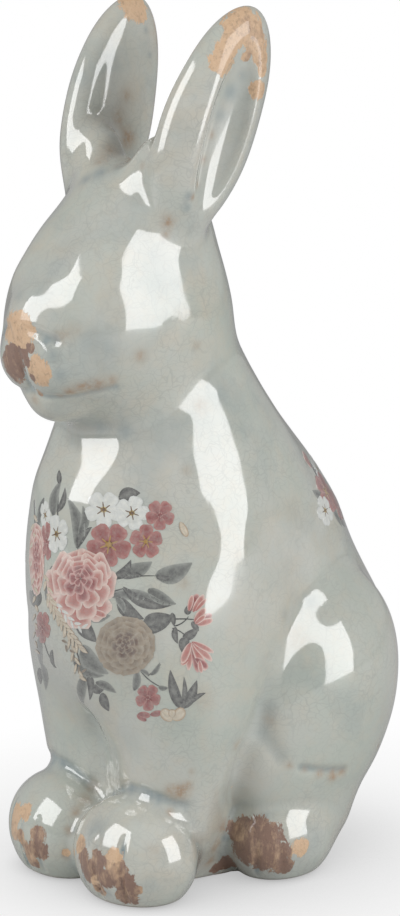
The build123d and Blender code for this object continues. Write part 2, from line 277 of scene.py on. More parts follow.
def ear_form(points):
    """Left ear, dished, melted into the ridge that runs from it to the brow."""
    own = (points - EAR_ROOT) @ EAR_TURN
    thickness, width, length = EAR_SIZE
    widest = EAR_WIDEST_SHARE * length
    along = np.clip(own[..., 2] / length, *EAR_BOW_SHARES)
    bowed = own - np.stack([0 * along, EAR_BOW * along**2, widest + 0 * along], -1)
    reach = np.where(bowed[..., 2] > 0, length - widest, EAR_TAPER_SHARE * length)
    half = np.stack([thickness / 2 + 0 * reach, width / 2 + 0 * reach, reach], -1)
    ear = swell(bowed, 0, half)
    low, high = (HEAD_MIDDLE + np.array(end) * HEAD_SIZE for end in RIDGE_SHARES[:2])
    ridge = limb(points, low, high, np.array(RIDGE_SHARES[2]) * HEAD_SIZE[0])
    ear = carve(ear, EAR_FACE_REACH - bowed @ EAR_FACE, FACE_BLEND)
    dish = swell(own, *(np.array(share) * EAR_SIZE for share in DISH_SHARES))
    return carve(melt(ear, ridge, FACE_BLEND), dish, DISH_BLEND)


def blob_form(points, blob):
    middle, half, turn = blob
    return swell(points, middle, half, turned("Z", turn))


# The photograph's camera: turn about the figurine, distance, height, target, lens and frame
CAMERA_TURN = 50.0
CAMERA_DISTANCE = 1130.0
CAMERA_HEIGHT = 389.0
CAMERA_TARGET = np.array([0, -14.5, 150.0])
LENS = 132.33
SENSOR = 36.0
FRAME_PIXELS = np.array([400.0, 916.0])
SHIFT_PIXELS = np.array([-31.06, -15.3])
CAMERA_PLACE = np.array([CAMERA_DISTANCE * math.sin(math.radians(CAMERA_TURN)),
                         CAMERA_TARGET[1] + 8.0 - CAMERA_DISTANCE * math.cos(math.radians(CAMERA_TURN)),
                         CAMERA_HEIGHT])

PIECES = ("torso_shell", "head_shell", "ear_left", "ear_right", "forepaw_left", "forepaw_right",
          "hind_foot_left", "hind_foot_right", "tail", "base_slab")


def forms(points):
    """Signed distance to each piece's own form, in the order of PIECES, less the base slab."""
    points = points - np.array([0, CENTRING, 0])
    sides = (points, points * MIRROR)
    found = [trunk_form(points, sides), head_form(points, sides)]
    for form in (ear_form, lambda side: blob_form(side, FOREPAW), lambda side: blob_form(side, HIND_FOOT)):
        found += [form(side) for side in sides]
    return found + [blob_form(points, TAIL)]


def skin_form(points):
    """Signed distance to the whole glazed skin, with every join filled as slip and glaze fill it."""
    trunk, head, ear_l, ear_r, paw_l, paw_r, hind_l, hind_r, tail = forms(points)
    field = melt(trunk, head, NECK_BLEND)
    for paw in (paw_l, paw_r):
        field = melt(field, paw, FOOT_BLEND)
    for foot in (hind_l, hind_r, tail):
        field = melt(field, foot, FOOT_BLEND)
    for ear in (ear_l, ear_r):
        field = melt(field, ear, EAR_BLEND)
    return carve(field, points[..., 2], EDGE_BLEND)


# Grooves in the skin: points left of the middle plane, width, depth. Each is cut on both sides
GROOVES = (
    (((0, -82, 191), (0, -78, 184), (0, -74, 178)), 1.4, 0.9),
    (((0, -74, 176), (5, -74, 174), (10, -72, 174.5), (15, -68, 175.5), (20, -63, 177), (24, -58, 178)),
     1.6, 0.5),
    (((2, -82, 193), (5, -80, 197), (9, -78, 196.5), (14, -75, 194)), 1.5, 0.7),
    (((12.5, -64, 23), (12, -66, 14), (12, -62, 3)), 1.1, 1.0),
    (((20.5, -64, 25), (20.5, -66, 15), (20, -61, 3)), 1.1, 1.1),
    (((30, -60, 26), (30.5, -62, 15), (30, -58, 3)), 1.1, 1.0),
    (((5, -45, 32), (17, -48, 38), (25, -47, 39), (31, -44, 37), (36, -38, 34)), 2.0, 0.8),
    (((40, -11, 22), (41, -11, 14), (38, -8, 3)), 1.2, 0.9),
    (((46.5, -4, 24), (47.5, -5, 15), (45, -2, 3)), 1.2, 0.9),
    (((44, 6, 100), (47, -3, 88), (48, -9, 80), (45, -11, 68), (43, -10, 56), (46, -5, 47)), 3.5, 1.0),
    (((49, 3, 42), (50, 11, 40), (50, 21, 38)), 1.8, 0.8),
    (((0, -52, 76), (0, -48, 52), (0, -46, 36)), 4.0, 1.6),
    (((9, 52, 47), (14, 54, 40), (10, 58, 30)), 1.6, 0.5),
)
# Slow unevenness of the casting: length of a wave along X, Y and Z, its start, and its height
WAVES = (
    ((38, 55, 47), 0.4, 0.06), ((-29, 41, 33), 1.9, 0.05), ((24, -37, 61), 3.1, 0.04),
    ((17, 15, -19), 2.2, 0.01),
)


def near_chain(points, chain):
    """Distance from points to a chain of straight runs."""
    chain = np.array(chain, float)
    least = np.full(len(points), 1e3)
    for low, high in zip(chain[:-1], chain[1:]):
        run = high - low
        along = np.clip((points - low) @ run / (run @ run), 0, 1)
        least = np.minimum(least, np.linalg.norm(points - low - along[:, None] * run, axis=1))
    return least


def detailed_form(points):
    """The skin with its grooves, its presses and the slow unevenness of a casting."""
    field = skin_form(points)
    own = points - np.array([0, CENTRING, 0])
    for chain, width, depth in GROOVES:
        corners = np.array(chain, float)
        reach = GROOVE_REACH * width
        for side in (own, own * MIRROR):
            close = ((side > corners.min(0) - reach) & (side < corners.max(0) + reach)).all(1)
            gap = near_chain(side[close], chain)
            share = 0.5 if abs(corners[:, 0]).max() == 0 else 1.0
            field[close] += share * depth * np.exp(-(gap / width) ** 2)
    for place, reach, height in PRESSES:
        for side in (own, own * MIRROR):
            gap = ((side - place) ** 2).sum(-1) / reach**2
            field -= height * np.exp(-gap)
    for lengths, start, height in WAVES:
        field += height * np.sin((own / np.array(lengths) * 2 * math.pi).sum(-1) + start)
    return field


def slope_of(form, points):
    """Form's value and gradient at points, from probes at the corners of a tetrahedron."""
    values = [form(points + PROBE * corner) for corner in TETRAHEDRON]
    slope = sum(value[:, None] * corner for value, corner in zip(values, TETRAHEDRON)) / (4 * PROBE)
    return sum(values) / 4, slope


def project(form, points, steps):
    """Points moved onto the form's surface, and their outward normals."""
    for _ in range(steps):
        value, slope = slope_of(form, points)
        move = np.clip(value, -LONGEST_MOVE, LONGEST_MOVE)[:, None]
        points = points - move * slope / (slope**2).sum(-1)[:, None]
    slope = slope_of(form, points)[1]
    return points, slope / np.linalg.norm(slope, axis=1)[:, None]


def seen_on_skin(pixels, turn=0.0):
    """Places on the skin at pixels of the photograph, or of a camera turned further about the rabbit."""
    ahead = CAMERA_TARGET - CAMERA_PLACE
    ahead /= np.linalg.norm(ahead)
    right = np.cross(ahead, [0, 0, 1])
    right /= np.linalg.norm(right)
    up = np.cross(right, ahead)
    aim = (np.atleast_2d(pixels) - FRAME_PIXELS / 2 - SHIFT_PIXELS) * SENSOR / FRAME_PIXELS[1] / LENS
    rays = ahead + aim[:, :1] * right - aim[:, 1:] * up
    rays = rays / np.linalg.norm(rays, axis=1)[:, None] @ turned("Z", turn).T
    place = turned("Z", turn) @ CAMERA_PLACE
    gone = np.full(len(rays), CAMERA_DISTANCE - MARCH_START)
    for _ in range(MARCH_STEPS):
        gone += np.clip(MARCH_SHARE * skin_form(place + gone[:, None] * rays), *MARCH_LIMITS)
    return place + gone[:, None] * rays


def rough_body():
    """Overlapping ellipsoids and rows of balls that roughly fill the whole figurine."""
    mesh = bmesh.new()
    level = np.eye(3)

    def both(middle, half, turn):
        for way in (level, np.diag(MIRROR)):
            place = np.eye(4)
            place[:3, :3] = (way @ turn @ way) @ np.diag(half)
            place[:3, 3] = way @ middle + np.array([0, CENTRING, 0])
            bmesh.ops.create_icosphere(mesh, subdivisions=4, radius=1, matrix=Matrix(place.tolist()))

    def swells(tables, tilted, tilt, middle, size):
        for shares in (*tables, tilted):
            turn = turned("X", tilt) if shares is tilted else level
            both(middle + np.array(shares[0]) * size, np.array(shares[1]) * size, turn)

    def limbs(tables, middle, size):
        for low, high, radii in tables:
            low, high = np.array(low), np.array(high)
            for step in np.linspace(0, 1, LIMB_BALLS):
                radius = (radii[0] + (radii[1] - radii[0]) * step) * size[0]
                both(middle + (low + (high - low) * step) * size, np.full(3, radius), level)

    trunk = (BARREL_SHARES, RUMP_SHARES, CHEST_SHARES, BELLY_SHARES, HEEL_SHARES)
    swells(trunk, HAUNCH_SHARES, HAUNCH_TILT, 0, TRUNK_SIZE)
    limbs((NECK_SHARES, FILL_SHARES, FORELEG_SHARES), 0, TRUNK_SIZE)
    head = (CROWN_SHARES, NOSE_SHARES, PUFF_SHARES, CHIN_SHARES)
    swells(head, CHEEK_SHARES, CHEEK_TILT, HEAD_MIDDLE, HEAD_SIZE)
    limbs((SKULL_SHARES, RIDGE_SHARES), HEAD_MIDDLE, HEAD_SIZE)
    for middle, half, turn in (FOREPAW, HIND_FOOT, TAIL):
        both(middle, half, turned("Z", turn))
    for step in EAR_STEPS:
        below = step < EAR_WIDEST_SHARE
        reach = EAR_TAPER_SHARE + 0.1 if below else 1 - EAR_WIDEST_SHARE
        spread = math.sqrt(max(0.1 if below else 0.04, 1 - ((step - EAR_WIDEST_SHARE) / reach) ** 2))
        own = np.array([0, EAR_BOW * step**2, step * EAR_SIZE[2]])
        half = np.array([EAR_SIZE[0] / 2 * spread, EAR_SIZE[1] / 2 * spread, EAR_BALL])
        both(EAR_ROOT + EAR_TURN @ own, half, EAR_TURN)
    return mesh


def in_scene(name, data):
    """New object of the scene, made of a mesh, lamp or camera."""
    holder = bpy.data.objects.new(name, data)
    bpy.context.scene.collection.objects.link(holder)
    return holder


def mesh_arrays(mesh):
    """Corners and quads or triangles of a Blender mesh as arrays."""
    places = np.empty(len(mesh.vertices) * 3, np.float32)
    mesh.vertices.foreach_get("co", places)
    faces = [tuple(face.vertices) for face in mesh.polygons]
    return places.reshape(-1, 3).astype(float), faces


def remeshed(mesh, edge):
    """Copy of a mesh in even squares of the given edge, as one closed skin."""
    holder = in_scene("remesh_work", mesh)
    modifier = holder.modifiers.new("remesh", "REMESH")
    modifier.mode = "VOXEL"
    modifier.voxel_size = edge
    view = bpy.context.evaluated_depsgraph_get()
    result = bpy.data.meshes.new_from_object(holder.evaluated_get(view))
    bpy.data.objects.remove(holder)
    return result


def whole_skin():
    """Corners, faces and normals of the whole skin in even squares, on the form."""
    body = rough_body()
    rough = bpy.data.meshes.new("rough")
    body.to_mesh(rough)
    body.free()
    for edge, steps in zip((ROUGH_EDGE, FINE_EDGE), PROJECTIONS):
        rough = remeshed(rough, edge)
        places, faces = mesh_arrays(rough)
        places, normals = project(skin_form, places, steps)
        rough.vertices.foreach_set("co", places.astype(np.float32).ravel())
    return places, faces, normals


def face_labels(middles):
    """Number of the piece that each face belongs to, with the base slab cut off the trunk."""
    labels = np.array(forms(middles)).argmin(axis=0)
    return np.where((labels == 0) & (middles[:, 2] < BASE_THICKNESS), PIECES.index("base_slab"), labels)


def edge_pairs(faces):
    """Pairs of faces that share an edge, and that edge's two corners."""
    seen = {}
    pairs = []
    for number, face in enumerate(faces):
        for one, other in zip(face, face[1:] + face[:1]):
            key = (min(one, other), max(one, other))
            if key in seen:
                pairs.append((seen.pop(key), number, *key))
            else:
                seen[key] = number
    return np.array(pairs)


def settled(labels, pairs):
    """Labels after each face has a few times taken the commonest label of itself and its neighbours."""
    one, other = pairs[:, 0], pairs[:, 1]
    for _ in range(LABEL_ROUNDS):
        votes = np.zeros((len(labels), len(PIECES)))
        votes[np.arange(len(labels)), labels] = OWN_VOTE
        np.add.at(votes, (one, labels[other]), 1)
        np.add.at(votes, (other, labels[one]), 1)
        labels = votes.argmax(axis=1)
    return labels


def split_squares(places, faces, fine):
    """Each square marked fine becomes four; its neighbours take the new corners on their edges."""
    middles = {}
    extra = []

    def middle(one, other):
        key = (min(one, other), max(one, other))
        if key not in middles:
            middles[key] = len(places) + len(extra)
            extra.append((places[one] + places[other]) / 2)
        return middles[key]

    new_faces, owners = [], []
    for number, face in enumerate(faces):
        if not fine[number]:
            continue
        centre = len(places) + len(extra)
        extra.append(places[list(face)].mean(axis=0))
        ring = [middle(one, other) for one, other in zip(face, face[1:] + face[:1])]
        for step, corner in enumerate(face):
            new_faces.append((corner, ring[step], centre, ring[step - 1]))
            owners.append(number)
    for number, face in enumerate(faces):
        if fine[number]:
            continue
        ring = []
        for one, other in zip(face, face[1:] + face[:1]):
            key = (min(one, other), max(one, other))
            ring += [one, middles[key]] if key in middles else [one]
        new_faces.append(tuple(ring))
        owners.append(number)
    return np.concatenate([places, np.array(extra)]), new_faces, np.array(owners)


def apart(points, low, high):
    """Zero on the seam between two pieces, by their numbers. The slab's seam with the trunk is level."""
    found = forms(points)
    if high < len(found):
        return found[low] - found[high]
    return points[..., 2] - BASE_THICKNESS if low == 0 else found[low] - found[0]


def snapped(places, faces, labels):
    """Corners between two pieces, slid over the skin onto the line where their forms meet."""
    first = np.full(len(places), -1)
    second = np.full(len(places), -1)
    for face, label in zip(faces, labels):
        for corner in face:
            if first[corner] < 0 or first[corner] == label:
                first[corner] = label
            elif second[corner] < 0:
                second[corner] = label
    for _ in range(SNAP_ROUNDS):
        for one, other in sorted(set(zip(first[second >= 0], second[second >= 0]))):
            chosen = ((first == one) & (second == other)).nonzero()[0]
            low, high = min(one, other), max(one, other)
            value, slope = slope_of(lambda spots: apart(spots, low, high), places[chosen])
            normal = slope_of(skin_form, places[chosen])[1]
            normal /= np.linalg.norm(normal, axis=1)[:, None]
            slope -= (slope * normal).sum(-1)[:, None] * normal
            strength = np.maximum((slope**2).sum(-1), LEAST_SLOPE)
            shift = -value[:, None] * slope / strength[:, None]
            reach = np.linalg.norm(shift, axis=1)[:, None]
            places[chosen] += shift * np.minimum(1, SNAP_REACH / np.maximum(reach, TINY))
            places[chosen] = project(skin_form, places[chosen], 2)[0]
    return places


def capped(corners, faces, normals):
    """Closes each hole of a piece with a fan to a point inside, so that the piece is a solid."""
    edges = {}
    for face in faces:
        for one, other in zip(face, face[1:] + face[:1]):
            if (other, one) in edges:
                del edges[(other, one)]
            else:
                edges[(one, other)] = True
    follow = {}
    for one, other in edges:
        follow.setdefault(one, []).append(other)
    corners, normals, faces = list(corners), list(normals), list(faces)
    while follow:
        start = next(iter(follow))
        loop, here = [start], start
        while True:
            ways = follow[here]
            there = ways.pop()
            if not ways:
                del follow[here]
            if there == start:
                break
            loop.append(there)
            here = there
        middle = np.mean([corners[corner] for corner in loop], axis=0)
        inward = -np.mean([normals[corner] for corner in loop], axis=0)
        corners.append(middle + CAP_DEPTH * inward)
        normals.append(-inward / (np.linalg.norm(inward) + TINY))
        faces += [(other, one, len(corners) - 1) for one, other in zip(loop, loop[1:] + loop[:1])]
    return np.array(corners), faces, np.array(normals)


# Marks on the glaze, by pixel of the photograph: x, y, reach and strength, or for worn spots how burnt.
# The hidden side has a mirrored copy of those in the tables named BOTH
WORN_NEAR = (
    (17, 331, 14, 0.0), (9, 331, 9, 0.0), (28, 331, 6, 0.0), (37, 372, 11, 0.05), (42, 379, 6, 0.05),
    (13, 367, 12, 0.42), (20, 352, 5, 0.5), (8, 352, 5, 0.4), (245, 26, 15, 0.1), (257, 42, 10, 0.16),
    (236, 38, 9, 0.0), (228, 50, 9, 0.0), (222, 62, 9, 0.02), (229, 66, 7, 0.02), (262, 58, 7, 0.12),
    (263, 70, 5, 0.1), (259, 90, 7, 0.04), (246, 56, 4, 0.2), (15, 815, 9, 0.05), (13, 829, 8, 0.2),
    (25, 812, 7, 0.02), (21, 838, 6, 0.25), (38, 835, 7, 0.35), (38, 850, 9, 0.4), (32, 860, 7, 0.3),
    (66, 853, 3, 0.2), (80, 845, 7, 0.12), (83, 858, 8, 0.35), (86, 872, 8, 0.42), (98, 860, 7, 0.42),
    (99, 874, 8, 0.4), (113, 857, 7, 0.06), (116, 870, 9, 0.36), (125, 884, 9, 0.48), (127, 897, 8, 0.42),
    (99, 889, 6, 0.3), (137, 890, 4, 0.35), (301, 847, 7, -0.05), (27, 362, 5, 0.5), (33, 377, 4, 0.5),
    (14, 349, 6, 0.5), (30, 348, 4, 0.45), (24, 355, 5, 0.5), (39, 393, 3, 0.3), (33, 368, 4, 0.1),
    (90, 868, 7, 0.4), (106, 880, 7, 0.4), (28, 850, 7, 0.35), (95, 882, 5, 0.1), (110, 864, 6, 0.25),
)
WORN_BOTH = (
    (240, 832, 11, 0.38), (256, 832, 12, 0.42), (268, 838, 12, 0.42), (244, 850, 12, 0.5),
    (262, 856, 14, 0.45), (280, 852, 9, 0.4), (283, 866, 8, 0.42), (228, 862, 7, 0.5), (215, 869, 5, 0.5),
    (250, 842, 12, 0.42),
)
TAN_NEAR = (
    (118, 118, 13, 0.5), (126, 95, 9, 0.45), (128, 138, 12, 0.8), (112, 150, 10, 0.45),
    (100, 160, 9, 0.4), (166, 234, 5, 0.5), (193, 197, 4, 0.6), (197, 184, 5, 0.6), (203, 160, 6, 0.5),
    (211, 135, 5, 0.5), (188, 786, 5, 0.7), (192, 772, 4, 0.4), (92, 786, 8, 0.5), (86, 800, 9, 0.45),
    (76, 812, 6, 0.5), (68, 830, 5, 0.5), (66, 855, 5, 0.8), (62, 335, 9, 0.35), (75, 328, 7, 0.25),
    (140, 356, 7, 0.5), (197, 345, 5, 0.4), (200, 405, 8, 0.35), (125, 640, 22, 0.45),
    (118, 665, 15, 0.4), (205, 700, 14, 0.35), (185, 583, 9, 0.3), (187, 470, 6, 0.35), (59, 195, 5, 0.6),
    (140, 165, 6, 0.4), (35, 400, 6, 0.5), (170, 812, 4, 0.7), (152, 850, 8, 0.25), (297, 845, 9, 0.3),
)
TAN_BOTH = (
    (60, 396, 5, 0.5), (70, 392, 7, 0.8), (84, 388, 8, 0.9), (98, 385, 8, 0.75), (112, 381, 7, 0.45),
    (168, 222, 7, 0.8), (180, 792, 9, 0.95), (170, 790, 6, 0.6), (290, 766, 4, 0.6), (305, 770, 4, 0.6),
    (320, 774, 5, 0.7), (333, 776, 7, 0.9), (343, 772, 5, 0.7), (385, 736, 5, 0.9), (378, 746, 4, 0.7),
    (216, 845, 8, 0.7), (210, 862, 7, 0.8), (222, 828, 8, 0.5), (270, 720, 8, 0.35), (300, 640, 12, 0.25),
    (237, 745, 8, 0.3),
)
# Glaze pooled in hollows, and painted shade under the chin, above the mouth and in the haunch's front
# crease, all in the pool colour
POOL_AND_SHADE_NEAR = (
    (84, 178, 8, 0.7), (100, 173, 9, 0.75), (118, 168, 8, 0.6), (105, 60, 15, 0.35), (146, 30, 4, 0.5),
    (150, 55, 4, 0.4), (230, 92, 9, 0.6), (220, 115, 8, 0.5), (242, 75, 7, 0.4), (189, 196, 5, 0.8),
    (187, 208, 6, 0.6), (18, 297, 9, 0.4), (72, 765, 7, 0.5), (90, 778, 6, 0.4), (73, 830, 4, 0.7),
    (95, 828, 12, 0.3), (107, 893, 6, 0.6), (150, 885, 10, 0.25), (90, 340, 22, 0.2), (40, 290, 20, 0.25),
    (130, 740, 20, 0.2),
)
POOL_AND_SHADE_BOTH = (
    (45, 341, 5, 0.9), (55, 338, 6, 0.7), (52, 356, 9, 0.45), (60, 375, 9, 0.35), (78, 424, 9, 0.5),
    (100, 428, 9, 0.5), (125, 431, 8, 0.45), (75, 441, 7, 0.4), (281, 640, 7, 0.6), (272, 660, 6, 0.6),
    (264, 685, 7, 0.6), (290, 615, 8, 0.6), (312, 600, 9, 0.4), (130, 789, 7, 0.6), (145, 795, 8, 0.7),
    (158, 800, 7, 0.5), (265, 818, 6, 0.5), (225, 838, 5, 0.7), (270, 708, 9, 0.35),
)
# Marks on the back, which the photograph doesn't show: place, reach, and strength or how burnt
BACK_POOLS = (((0, 62, 52), 12, 0.6), ((12, 55, 36), 9, 0.5), ((0, 20, 180), 16, 0.25),
              ((20, 5, 215), 12, 0.3))
BACK_TANS = (((0, 80, 40), 7, 0.5), ((24, 50, 22), 12, 0.45), ((-22, 52, 26), 9, 0.35),
             ((-30, 4, 288), 8, 0.6))
BACK_WORN = (((3, 81, 44), 5, 0.05), ((-27, -8, 296), 6, 0.06), ((-12, 62, 24), 4, 0.3))
PIXEL_MM = 0.337
# Worn spots: growth, level in the middle and its fall; then the fall and reach of the other marks
WORN_SPREAD = 1.45
WORN_MIDDLE = 1.15
WORN_FALL = 0.65
MARK_FALL = 1.1
MARK_REACH = 2.2
# Bend of the skin, per millimetre: probe, where pools are deepest, and where the glaze starts to thin
BEND_PROBE = 0.9
POOL_BEND = 0.5
POOL_MOST = 0.85
THIN_BEND = (0.10, 0.25)


def spread_marks(points, near, both, back, flat=False):
    """Strongest mark at each point, and how burnt it is. Flat marks have a wide middle and a soft rim."""
    places = seen_on_skin(np.array([mark[:2] for mark in (*near, *both)], float))
    scale = PIXEL_MM * (WORN_SPREAD if flat else 1)
    tables = [(place, mark[2] * scale, mark[3]) for place, mark in zip(places, (*near, *both))]
    tables += [(place * MIRROR, reach, level) for place, reach, level in tables[len(near):]]
    tables += [(np.array(place, float), reach, level) for place, reach, level in back]
    strength = np.zeros(len(points))
    burnt = np.zeros(len(points))
    for place, reach, level in tables:
        close = (np.abs(points - place) < MARK_REACH * reach).all(1).nonzero()[0]
        gap = np.linalg.norm(points[close] - place, axis=1) / reach
        if flat:
            here = np.clip(WORN_MIDDLE - WORN_FALL * gap**2, 0, 1)
            burnt[close] = np.where(here > strength[close], level, burnt[close])
            strength[close] = np.maximum(strength[close], here)
        else:
            here = level * np.exp(-MARK_FALL * gap**2)
            strength[close] = 1 - (1 - strength[close]) * (1 - here)
    return strength, burnt


def skin_masks(places):
    """Where the glaze has pooled or painted shade falls, run thin, stained or worn away, as a value for
    each corner.
    """
    around = sum(detailed_form(places + BEND_PROBE * corner) for corner in TETRAHEDRON) / 4
    bend = (around - detailed_form(places)) / BEND_PROBE**2
    pool_and_shade = np.clip(-bend / POOL_BEND, 0, POOL_MOST)
    # Pooling from the bend of the skin, then marks that add painted shade under the chin, above the mouth
    # and in the haunch's front crease
    pool_and_shade = 1 - (1 - pool_and_shade) * (1 - spread_marks(places, POOL_AND_SHADE_NEAR, POOL_AND_SHADE_BOTH, BACK_POOLS)[0])
    worn, burnt = spread_marks(places, WORN_NEAR, WORN_BOTH, BACK_WORN, flat=True)
    tan = spread_marks(places, TAN_NEAR, TAN_BOTH, BACK_TANS)[0]
    thin = np.clip((bend - THIN_BEND[0]) / THIN_BEND[1], 0, 1)
    return {"pool_and_shade": pool_and_shade, "worn": worn, "burnt": burnt, "tan": tan, "thin": thin}


def dressed_mesh(name, corners, faces, normals, material):
    """Mesh in metres from corners in millimetres, shaded by the form's own normals."""
    mesh = bpy.data.meshes.new(name)
    mesh.from_pydata((corners * MM).tolist(), [], faces)
    mesh.polygons.foreach_set("use_smooth", np.ones(len(faces), bool))
    mesh.normals_split_custom_set_from_vertices(normals.tolist())
    mesh.materials.append(material)
    return mesh


def make_piece(name, corners, faces, normals, material, masks):
    """A piece of the skin as a Blender object that stands for the solid of the same name."""
    mesh = dressed_mesh(name, corners, faces, normals, material)
    for mask, values in masks.items():
        layer = mesh.attributes.new(mask, "FLOAT", "POINT")
        layer.data.foreach_set("value", np.resize(values, len(corners)).astype(np.float32))
    piece = in_scene(name + "_skin", mesh)
    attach(piece, "root")
    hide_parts(name)


def build_skin(material):
    places, faces, normals = whole_skin()
    labels = face_labels(np.array([places[list(face)].mean(axis=0) for face in faces]))
    labels = settled(labels, edge_pairs(faces)[:, :2])
    places = snapped(places, faces, labels)
    fine = np.isin(labels, [PIECES.index(name) for name in FINE_PIECES])
    places, faces, owners = split_squares(places, faces, fine)
    labels = labels[owners]
    places, normals = project(detailed_form, places, PROJECTIONS[1])
    masks = skin_masks(places)
    for number, name in enumerate(PIECES):
        own = [faces[face] for face in (labels == number).nonzero()[0]]
        used = np.unique(np.concatenate([np.array(face) for face in own]))
        place_of = {int(corner): step for step, corner in enumerate(used)}
        own = [tuple(place_of[corner] for corner in face) for face in own]
        corners, own, own_normals = capped(places[used], own, normals[used])
        own_masks = {mask: values[used] for mask, values in masks.items()}
        make_piece(name, corners, own, own_normals, material, own_masks)


# Transfer print. Colours of a sheet, as linear light: root, tip, rim and midrib
SNOW = ((0.66, 0.66, 0.58), (0.86, 0.87, 0.84), (0.74, 0.76, 0.74), (0.72, 0.74, 0.72))
ROSE = ((0.20, 0.055, 0.055), (0.43, 0.155, 0.145), (0.50, 0.23, 0.21), (0.33, 0.10, 0.10))
BLUSH = ((0.40, 0.10, 0.095), (0.62, 0.28, 0.24), (0.84, 0.68, 0.61), (0.50, 0.18, 0.16))
HEART = ((0.20, 0.03, 0.035), (0.42, 0.11, 0.11), (0.72, 0.46, 0.42), (0.26, 0.05, 0.05))
FADED = ((0.17, 0.12, 0.085), (0.36, 0.29, 0.215), (0.42, 0.35, 0.27), (0.24, 0.18, 0.13))
FADED_HEART = ((0.10, 0.05, 0.04), (0.22, 0.15, 0.11), (0.38, 0.31, 0.24), (0.13, 0.07, 0.055))
INK = ((0.055, 0.058, 0.060), (0.12, 0.12, 0.118), (0.10, 0.10, 0.10), (0.20, 0.20, 0.19))
SAGE = ((0.09, 0.095, 0.092), (0.24, 0.25, 0.235), (0.33, 0.345, 0.32), (0.14, 0.145, 0.14))
CREAM = ((0.60, 0.50, 0.36), (0.78, 0.72, 0.60), (0.50, 0.36, 0.24), (0.66, 0.57, 0.44))
GOLD = ((0.42, 0.25, 0.05), (0.55, 0.36, 0.08), (0.70, 0.62, 0.36), (0.16, 0.08, 0.03))
BEAD = ((0.50, 0.30, 0.07), (0.40, 0.20, 0.06), (0.10, 0.03, 0.03), (0.50, 0.30, 0.07))
# How blunt a sheet's root and tip are
PETAL = (0.8, 0.32)
LEAF = (0.62, 0.95)
ROUND = (0.5, 0.5)
STRIP = (0.08, 0.25)
BUD_PETAL = (0.6, 0.5)
ROSE_PETAL = (0.55, 0.2)
ALONG = np.linspace(0, 1, 10)[:, None]
ACROSS = np.array([[-1, -0.85, -0.5, -0.14, 0.14, 0.5, 0.85, 1]])
PRINT_LIFT = 0.05
PETAL_LIFT = 0.008
PRINT_ROOT = 0.3
LONGEST_STEP = 14.0
# Darker or lighter rim and midrib of a sheet, across its half width
RIM_START = 0.62
RIM_FADE = 0.3
RIB_WIDTH = 0.2
RIB_STRENGTH = 0.7
STRAND_LEAN = 28
# Spray for the sides out of sight, about its own middle: leaves, blossoms and bud petals as above
SPRAY_LEAVES = (
    (0, 0, 34, -16, 14, 0.1, SAGE), (2, 6, 36, 14, 13, 0.1, INK), (-4, 2, -34, -12, 13, -0.1, SAGE),
    (-4, 8, -30, 24, 13, 0.1, INK), (0, 10, 8, 42, 11, 0.08, SAGE), (10, 30, 26, 46, 9, 0.1, INK),
    (0, -6, -6, -38, 9, 0.1, INK),
)
SPRAY_BLOSSOMS = (
    (0, 0, 22, 15, ROSE, BEAD), (24, 22, 17, -10, ROSE, HEART), (-22, 14, 16, 40, SNOW, GOLD),
    (14, -24, 15, 5, SNOW, GOLD),
)
SPRAY_BUDS = (
    (-8, -30, -100, 20, 9, BLUSH), (-9, -30, -85, 18, 8, HEART), (-8, -30, -118, 18, 7, BLUSH),
)

# Blossoms: middle, radius, squash, first angle, colours and those of the eye
BLOSSOMS = (
    (109, 544.5, 22, 1.0, 20, ROSE, BEAD), (146, 541.5, 17, 0.95, -16, ROSE, BEAD),
    (160, 515, 15, 0.95, 20, ROSE, HEART), (147.5, 698, 13, 0.95, 15, ROSE, HEART),
    (43, 627, 16, 0.48, 20, ROSE, HEART), (47, 541, 19, 0.32, 0, ROSE, HEART),
    (104, 509.5, 18, 1.0, -55, SNOW, GOLD), (132, 513, 17, 1.0, 0, SNOW, GOLD),
    (57, 534, 19, 0.62, -30, SNOW, GOLD), (46, 515, 14, 0.35, 0, SNOW, GOLD),
)
